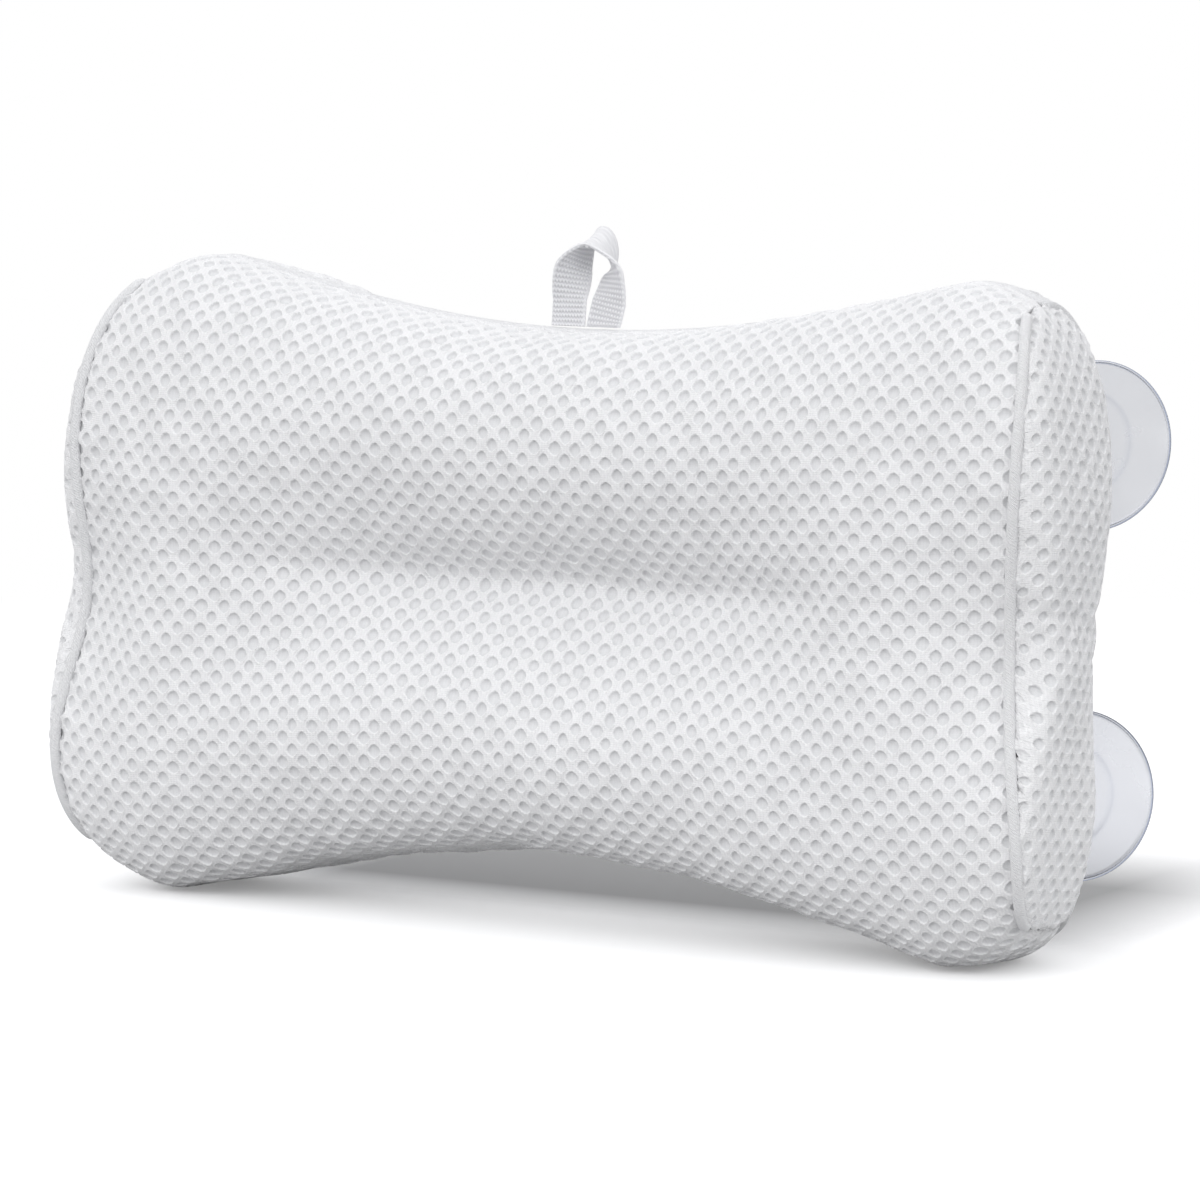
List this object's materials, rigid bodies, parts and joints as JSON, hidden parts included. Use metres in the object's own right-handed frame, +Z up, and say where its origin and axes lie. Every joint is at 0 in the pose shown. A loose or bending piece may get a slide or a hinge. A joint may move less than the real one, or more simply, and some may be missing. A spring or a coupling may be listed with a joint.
{
  "type": "bath pillow",
  "caption": "Padded bath pillow in pitted spacer mesh with lobed ends, a hollow for the neck, corded seams, a hanging loop and suction cups on its back.",
  "frame": {"origin": "centre of the footprint of the whole part, on the surface that it stands on", "axes": "+X along the pillow, -Y the way the front faces, +Z up"},
  "size_m": [0.3382, 0.1152, 0.2041],
  "materials": {
    "mesh_cloth": "matte",
    "cord_cloth": "matte",
    "tape": "matte",
    "foam": "matte",
    "clear_cup": "gloss",
    "eyelet": "satin"
  },
  "bodies": {
    "pillow": {"front_panel": "mesh_cloth", "back_panel": "mesh_cloth", "end_panel_left": "mesh_cloth", "end_panel_right": "mesh_cloth", "foam_core": "foam", "piping_left": "cord_cloth", "piping_right": "cord_cloth", "back_binding": "cord_cloth", "eyelet_upper_left": "eyelet", "eyelet_washer_upper_left": "eyelet", "eyelet_upper_right": "eyelet", "eyelet_washer_upper_right": "eyelet", "eyelet_lower_left": "eyelet", "eyelet_washer_lower_left": "eyelet", "eyelet_lower_right": "eyelet", "eyelet_washer_lower_right": "eyelet"},
    "loop": {"hanging_loop": "tape"},
    "cup_upper_left": {"suction_cup_upper_left": "clear_cup"},
    "cup_upper_right": {"suction_cup_upper_right": "clear_cup"},
    "cup_lower_left": {"suction_cup_lower_left": "clear_cup"},
    "cup_lower_right": {"suction_cup_lower_right": "clear_cup"}
  },
  "joints": [
    {"name": "loop_fold", "type": "hinge", "parent": "pillow", "child": "loop", "pos_m": [0, -0.00674, 0.17674], "axis": [1, 0, 0], "range_deg": [-80, 80], "stiffness_Nm_per_rad": 0.002},
    {"name": "cup_spin_upper_left", "type": "hinge", "parent": "pillow", "child": "cup_upper_left", "pos_m": [-0.1335, 0.03331, 0.14518], "axis": [0, 0.9833, -0.1822], "continuous": true},
    {"name": "cup_spin_upper_right", "type": "hinge", "parent": "pillow", "child": "cup_upper_right", "pos_m": [0.1335, 0.03331, 0.14518], "axis": [0, 0.9833, -0.1822], "continuous": true},
    {"name": "cup_spin_lower_left", "type": "hinge", "parent": "pillow", "child": "cup_lower_left", "pos_m": [-0.13664, 0.01781, 0.04476], "axis": [0, 0.9833, -0.1822], "continuous": true},
    {"name": "cup_spin_lower_right", "type": "hinge", "parent": "pillow", "child": "cup_lower_right", "pos_m": [0.13664, 0.01781, 0.04476], "axis": [0, 0.9833, -0.1822], "continuous": true}
  ]
}
